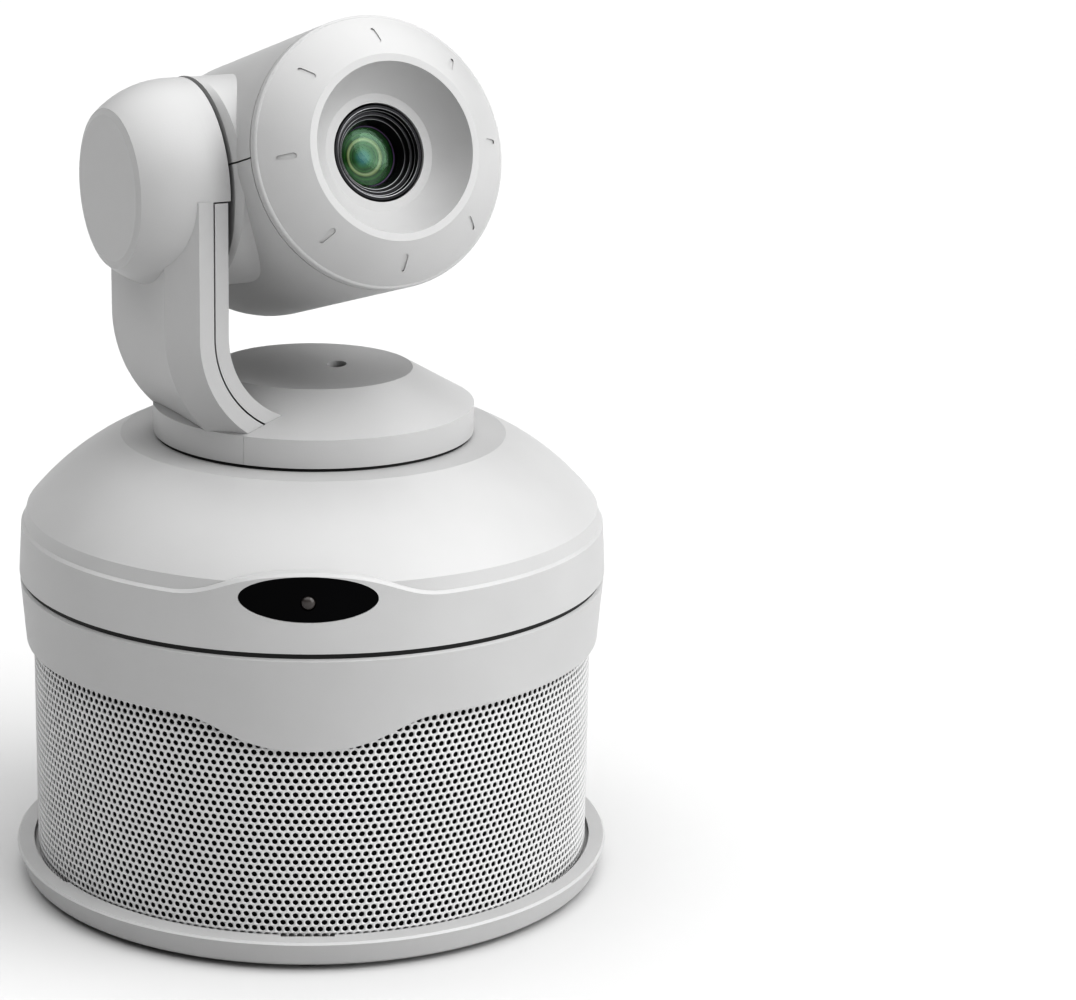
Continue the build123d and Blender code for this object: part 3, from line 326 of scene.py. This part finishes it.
def paint(piece, material):
    """Give the whole piece one material."""
    if not piece.data.materials:
        piece.data.materials.append(material)
    for held in piece.material_slots:
        held.material = material


for row in frame["record"]["subparts"]:
    paint(nodes[row["node"]], finishes[row["material_slot"]])
paint(nodes["ir_receiver"], grained(
    # clear epoxy lens with smoke dye over the infrared chip
    "smoked_epoxy", "4a4644", "3a3736", 0.18, 2 * MM, 0.002 * MM, spread=0.02
))


# ---------------------------------------------------------------- making pieces
def new_piece(name, corners, faces, body, slot, smooth_angle=35):
    """A mesh piece that rides on a body and takes the finish of a slot."""
    mesh = bpy.data.meshes.new(name)
    mesh.from_pydata(corners, [], faces)
    mesh.update()
    mesh.shade_smooth()
    mesh.set_sharp_from_angle(angle=math.radians(smooth_angle))
    piece = bpy.data.objects.new(name, mesh)
    bpy.context.scene.collection.objects.link(piece)
    paint(piece, finishes[slot])
    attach(piece, body)
    return piece


def turned(name, profile, body, slot, steps=96):
    """Revolve a closed (forward, radius) outline in millimetres about the lens axis."""
    across = LENS_AXIS.cross(Vector((0, 0, 1))).normalized()
    upward = across.cross(LENS_AXIS)
    corners, faces = [], []
    for step in range(steps):
        angle = 2 * math.pi * step / steps
        outward = across * math.cos(angle) + upward * math.sin(angle)
        corners += [TILT_PIVOT + LENS_AXIS * d * MM + outward * r * MM for d, r in profile]
    count = len(profile)
    for step in range(steps):
        here, there = step * count, (step + 1) % steps * count
        for i in range(count):
            j = (i + 1) % count
            face = [here + i, here + j, there + j, there + i]
            if profile[i][1] == 0:
                face.remove(there + i)
            if profile[j][1] == 0:
                face.remove(there + j)
            if len(face) > 2:
                faces.append(face)
    piece = new_piece(name, corners, faces, body, slot)
    tidy = bmesh.new()
    tidy.from_mesh(piece.data)
    bmesh.ops.remove_doubles(tidy, verts=tidy.verts, dist=0.001 * MM)
    bmesh.ops.recalc_face_normals(tidy, faces=tidy.faces)
    tidy.to_mesh(piece.data)
    tidy.free()
    return piece


def dome(edge, half_width, bulge, steps=10):
    """Points of a spherical face, from its middle out to its edge; hollow for a bulge < 0."""
    radius = (half_width ** 2 + bulge ** 2) / (2 * bulge)
    points = []
    for step in range(steps + 1):
        r = half_width * step / steps
        rise = math.copysign(math.sqrt(radius ** 2 - r ** 2), bulge)
        points.append((edge + bulge - radius + rise, r))
    return points


# ---------------------------------------------------------------- lens
# millimetres forward of the tilt pivot and out from the lens axis
GLASS_RADIUS = 9.8
ELEMENT_RADIUS = 9.7
ELEMENT_BACK_RADIUS = 8.7        # its smaller step, in the barrel's bore
front_lens = turned(
    "front_lens", dome(41.0, GLASS_RADIUS, 2.6) + dome(40.0, GLASS_RADIUS, 2.2)[::-1],
    "camera_head", "lens_glass",
)
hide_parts("front_glass")
coated_lens = turned(
    "coated_lens",
    dome(38.4, ELEMENT_RADIUS, -2.2) + [
        (37.2, ELEMENT_RADIUS), (37.2, ELEMENT_BACK_RADIUS),
        (35.7, ELEMENT_BACK_RADIUS), (35.7, 0),
    ],
    "camera_head", "lens_glass",
)
# the inner element takes the painted coating reflections as its colour
paint(coated_lens, painted_lens_reflections())
# pale grey metal on the barrel's lips: painted highlights along the edges of the black barrel
lip_highlight_metal = grained(
    "painted_highlight_lip_metal", "a8a8aa", "8c8c8e", 0.3, 0.3 * MM, 0.003 * MM, metal=1.0
)
# how far forward each lip is, its radius and its thickness, in millimetres
LIPS = ((47.05, 13.95, 0.2), (45.95, 13.3, 0.14), (44.9, 12.1, 0.14), (43.3, 11.0, 0.16))
for number, (forward, radius, thick) in enumerate(LIPS, 1):
    lip = turned(
        f"barrel_lip_{number}",
        [
            (forward + thick * math.cos(turn), radius + thick * math.sin(turn))
            for turn in [math.pi * k / 4 for k in range(8)]
        ],
        "camera_head", "barrel_black",
    )
    # the rings' pale metal is a painted highlight on the lip edges
    paint(lip, lip_highlight_metal)

# ---------------------------------------------------------------- perforated grille
grille_low, grille_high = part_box("speaker_grille")
GRILLE_RADIUS = grille_high.x
GRILLE_SHEET = 0.5 * MM
HOLE_RADIUS = 0.93 * MM
HOLE_SIDES = 8
COLUMNS = 224
ROWS = 33
WINDOW_HALF_COLUMNS = 15.4       # the sockets' opening at the back
WINDOW_ROWS = 23
pitch = 2 * math.pi / COLUMNS
row_height = (grille_high.z - grille_low.z) / ROWS


def grille_point(column, row, along=0.0, up=0.0):
    """Point of the sheet: columns run round from the back, rows up from the groove."""
    angle = math.pi / 2 + column * pitch + along / GRILLE_RADIUS
    return (
        GRILLE_RADIUS * math.cos(angle), GRILLE_RADIUS * math.sin(angle),
        grille_low.z + row * row_height + up,
    )


def grille_cell(column, row, corners, faces):
    """One hole with the metal round it; every second row is half a column along."""
    shift = 0.5 * (row % 2)
    middle = column + shift
    outline = [
        (middle + 0.5, row + 1), (middle, row + 1), (middle - 0.5, row + 1),
        (middle - 0.5, row), (middle, row), (middle + 0.5, row),
    ]
    keys = [("sheet", round(2 * x), y) for x, y in outline]
    for key, (x, y) in zip(keys, outline):
        corners.setdefault(key, grille_point(x, y))
    ring = []
    for step in range(HOLE_SIDES):
        turn = 2 * math.pi * step / HOLE_SIDES
        key = ("hole", column, row, step)
        corners[key] = grille_point(
            middle, row + 0.5, HOLE_RADIUS * math.cos(turn), HOLE_RADIUS * math.sin(turn)
        )
        ring.append(key)
    faces += [
        (keys[0], keys[1], ring[2], ring[1]), (keys[1], keys[2], ring[3], ring[2]),
        (keys[2], keys[3], ring[5], ring[4], ring[3]), (keys[3], keys[4], ring[6], ring[5]),
        (keys[4], keys[5], ring[7], ring[6]), (keys[5], keys[0], ring[1], ring[0], ring[7]),
    ]


def grille_half(name, columns):
    """The part of the sheet over these columns, thickened inwards."""
    corners, faces = {}, []
    for row in range(ROWS):
        for column in columns:
            middle = column + 0.5 * (row % 2)
            if row < WINDOW_ROWS and abs(middle) < WINDOW_HALF_COLUMNS:
                continue
            grille_cell(column, row, corners, faces)
    index = {key: i for i, key in enumerate(corners)}
    piece = new_piece(
        name, list(corners.values()), [[index[key] for key in face] for face in faces],
        "base", "grille_paint", 40,
    )
    thick = piece.modifiers.new("sheet", "SOLIDIFY")
    thick.thickness = GRILLE_SHEET
    thick.offset = -1
    return piece


grille_front = grille_half("grille_front", range(COLUMNS // 4, 3 * COLUMNS // 4))
grille_half("grille_back", range(-COLUMNS // 4, COLUMNS // 4))
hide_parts("speaker_grille")

# ---------------------------------------------------------------- floor, lights, camera
floor_mesh = bpy.data.meshes.new("floor")
FLOOR_REACH = 60.0               # so far that low views meet no edge
floor_mesh.from_pydata(
    [(x * FLOOR_REACH, y * FLOOR_REACH, 0) for x, y in ((-1, -1), (1, -1), (1, 1), (-1, 1))],
    [], [(0, 1, 2, 3)],
)
floor = bpy.data.objects.new("floor", floor_mesh)
bpy.context.scene.collection.objects.link(floor)
paint(floor, grained("white_paper", "cacaca", "c8c8c8", 0.9, 2 * MM, 0.01 * MM, patch=0.5))

# a room with a bright ceiling, dark walls and a pale backdrop low down behind the floor
CEILING_LIGHT = 1.85             # strength straight overhead
CEILING_START = 0.38             # sine of the elevation where the ceiling begins
BACKDROP_LIGHT = 0.55
BACKDROP_TOP = (0.14, 0.18)      # sines of the elevations over which it fades out
world = bpy.data.worlds.new("studio")
bpy.context.scene.world = world
world.use_nodes = True
room = world.node_tree
room.nodes.clear()
direction = add(room, "ShaderNodeTexCoord").outputs["Generated"]
height = add(room, "ShaderNodeSeparateXYZ", links={"Vector": direction}).outputs["Z"]
ceiling = add(
    room, "ShaderNodeMapRange",
    {"From Min": CEILING_START, "From Max": 1.0, "To Min": 0.0, "To Max": CEILING_LIGHT},
    {"Value": height}, interpolation_type="SMOOTHSTEP",
).outputs["Result"]
backdrop = between(room, height, BACKDROP_LIGHT, 0.0, *BACKDROP_TOP)
both = add(room, "ShaderNodeMath", links={0: ceiling, 1: backdrop}, operation="ADD")
sky = add(
    room, "ShaderNodeBackground", {"Color": linear("ffffff")}, {"Strength": both.outputs[0]}
)
add(room, "ShaderNodeOutputWorld", links={"Surface": sky.outputs["Background"]})

# one wide soft source to the right, so that the whole floor is lit alike
LIGHT_DIRECTION = Vector((-0.78, 0.34, -0.53))
key = bpy.data.lights.new("ceiling_diffuser", "SUN")
key.energy = 1.8
key.angle = math.radians(60)
key_lamp = bpy.data.objects.new("ceiling_diffuser", key)
key_lamp.rotation_mode = "QUATERNION"
key_lamp.rotation_quaternion = LIGHT_DIRECTION.to_track_quat("-Z", "Y")
bpy.context.scene.collection.objects.link(key_lamp)

bpy.context.scene.view_settings.view_transform = "Standard"
bpy.context.scene.view_settings.look = "High Contrast"

CAMERA_PLACE = (0.01785, -1.0394, 0.4227)
camera_data = bpy.data.cameras.new("camera")
camera_data.sensor_width = 36
camera_data.lens = 108.4
camera = bpy.data.objects.new("camera", camera_data)
bpy.context.scene.collection.objects.link(camera)
azimuth, elevation, roll = math.radians(-3.13), math.radians(15.86), math.radians(1.25)
back = Vector((
    math.sin(azimuth) * math.cos(elevation), -math.cos(azimuth) * math.cos(elevation),
    math.sin(elevation),
))
level = (-back).cross(Vector((0, 0, 1))).normalized()
upright = level.cross(-back)
right = level * math.cos(roll) + upright * math.sin(roll)
up = upright * math.cos(roll) - level * math.sin(roll)
turned_to = Matrix((right, up, back)).transposed().to_4x4()
camera.matrix_world = Matrix.Translation(CAMERA_PLACE) @ turned_to
bpy.context.scene.camera = camera

bpy.context.view_layer.update()
